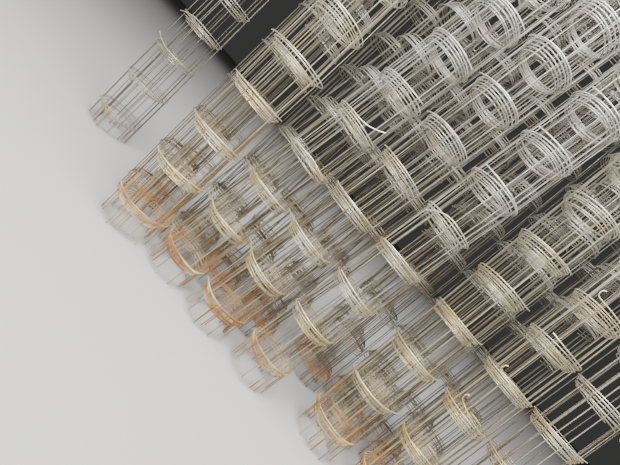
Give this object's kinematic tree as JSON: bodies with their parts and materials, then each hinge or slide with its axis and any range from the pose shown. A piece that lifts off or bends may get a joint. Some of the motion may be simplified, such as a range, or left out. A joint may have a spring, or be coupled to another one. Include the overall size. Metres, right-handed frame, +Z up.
{
  "type": "stack of welded wire mesh rolls",
  "caption": "Rolls of weathered square welded wire mesh standing on end, packed in three close rows with one roll apart, stored for use as reinforcement.",
  "frame": {"origin": "middle of the stack's box, on the floor that the rolls' wire ends stand on", "axes": "+Z up along the standing rolls, +X to the right along the rows, +Y from the front row to the rear rows"},
  "size_m": [2.5269, 0.8949, 2.4087],
  "materials": {
    "rusted_wire": "weathered drawn wire, grey-brown with orange rust near the floor"
  },
  "bodies": {
    "root": {"mesh_roll_01": "rusted_wire", "mesh_roll_02": "rusted_wire", "mesh_roll_03": "rusted_wire", "mesh_roll_04": "rusted_wire", "mesh_roll_05": "rusted_wire", "mesh_roll_06": "rusted_wire", "mesh_roll_07": "rusted_wire", "mesh_roll_08": "rusted_wire", "mesh_roll_09": "rusted_wire", "mesh_roll_10": "rusted_wire", "mesh_roll_11": "rusted_wire", "mesh_roll_12": "rusted_wire", "mesh_roll_13": "rusted_wire", "mesh_roll_14": "rusted_wire", "mesh_roll_15": "rusted_wire", "mesh_roll_16": "rusted_wire", "mesh_roll_17": "rusted_wire", "mesh_roll_18": "rusted_wire", "mesh_roll_19": "rusted_wire", "mesh_roll_20": "rusted_wire", "mesh_roll_21": "rusted_wire", "mesh_roll_22": "rusted_wire"}
  },
  "joints": []
}
